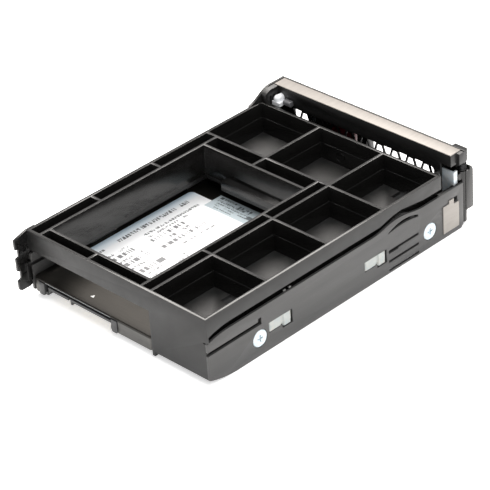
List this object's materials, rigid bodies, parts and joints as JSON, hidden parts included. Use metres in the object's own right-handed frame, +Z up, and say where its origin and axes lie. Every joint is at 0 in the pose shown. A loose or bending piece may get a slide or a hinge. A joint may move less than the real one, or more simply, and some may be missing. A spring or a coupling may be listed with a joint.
{
  "type": "hot-swap disk drive",
  "caption": "Hot-swap carrier for a 3.5-inch drive bay with a hinged, latched front handle and a ribbed adapter tray that holds a 2.5-inch solid-state disk.",
  "frame": {"origin": "middle of the whole object's footprint, on the underside of the side rails", "axes": "+Y from the handle and bezel towards the connector end, +Z up with the disk's label facing up, +X towards the handle's free end"},
  "size_m": [0.1052, 0.1648, 0.0365],
  "materials": {
    "tray_plastic": "moulded black, semi-gloss with a fine texture on the outside",
    "rail_steel": "satin dark paint on stamped steel",
    "guide_plastic": "moulded black",
    "bezel_plastic": "moulded black, satin",
    "grille_steel": "black painted sheet with a hexagon pattern",
    "handle_plastic": "moulded black, gloss",
    "handle_plate": "blank dark plate, brushed",
    "latch_plastic": "moulded dark red",
    "bright_steel": "turned bright steel",
    "zinc_plate": "zinc plated, faintly blue",
    "spring_steel": "drawn wire",
    "leaf_steel": "bright spring strip",
    "gasket_cloth": "conductive cloth with fine cross-wise lines",
    "clear_plastic": "clear, faintly blue",
    "clip_plastic": "moulded dark grey",
    "screw_zinc": "zinc plated",
    "screw_black": "black oxide",
    "disk_metal": "dark anodised, brushed",
    "board_laminate": "solder mask over glass-fibre laminate",
    "post_brass": "turned",
    "chip_resin": "moulded chip package",
    "capacitor_resin": "moulded yellow block",
    "pad_silicone": "soft blue-grey pad",
    "plug_plastic": "glass-filled black",
    "contact_gold": "gold plated",
    "label_paper": "coated label with blank printed blocks"
  },
  "bodies": {
    "carrier": {"adapter_tray": "tray_plastic", "left_rail": "rail_steel", "right_rail": "rail_steel", "rear_guide": "guide_plastic", "bezel_frame": "bezel_plastic", "honeycomb_grille": "grille_steel", "hinge_pin": "bright_steel", "hinge_plate": "zinc_plate", "hinge_plate_rivets": "bright_steel", "torsion_spring": "spring_steel", "leaf_springs": "leaf_steel", "top_gasket": "gasket_cloth", "left_gasket": "gasket_cloth", "right_gasket": "gasket_cloth", "light_pipe": "clear_plastic", "light_pipe_clip": "clip_plastic", "rail_screws": "screw_zinc", "frame_screws": "screw_zinc", "disk_screws": "screw_zinc", "case_screws": "screw_black", "disk_base": "disk_metal", "disk_cover": "disk_metal", "circuit_board": "board_laminate", "board_posts": "post_brass", "flash_chips": "chip_resin", "controller_chip": "chip_resin", "memory_chip": "chip_resin", "hold_up_capacitors": "capacitor_resin", "thermal_pads": "pad_silicone", "edge_plug": "plug_plastic", "plug_contacts": "contact_gold", "main_label": "label_paper", "rating_label": "label_paper"},
    "handle": {"handle": "handle_plastic", "handle_label_plate": "handle_plate", "latch_spring": "spring_steel"},
    "latch": {"release_latch": "latch_plastic"}
  },
  "joints": [
    {"name": "handle_hinge", "type": "hinge", "parent": "carrier", "child": "handle", "pos_m": [-0.0497, -0.0781, 0.018], "axis": [0, 0, -1], "range_deg": [0, 55]},
    {"name": "latch_slide", "type": "slide", "parent": "handle", "child": "latch", "axis": [-1, 0, 0], "range_m": [0, 0.003], "stiffness_N_per_m": 150, "springref_m": -0.004, "deforming": ["latch_spring"]}
  ]
}
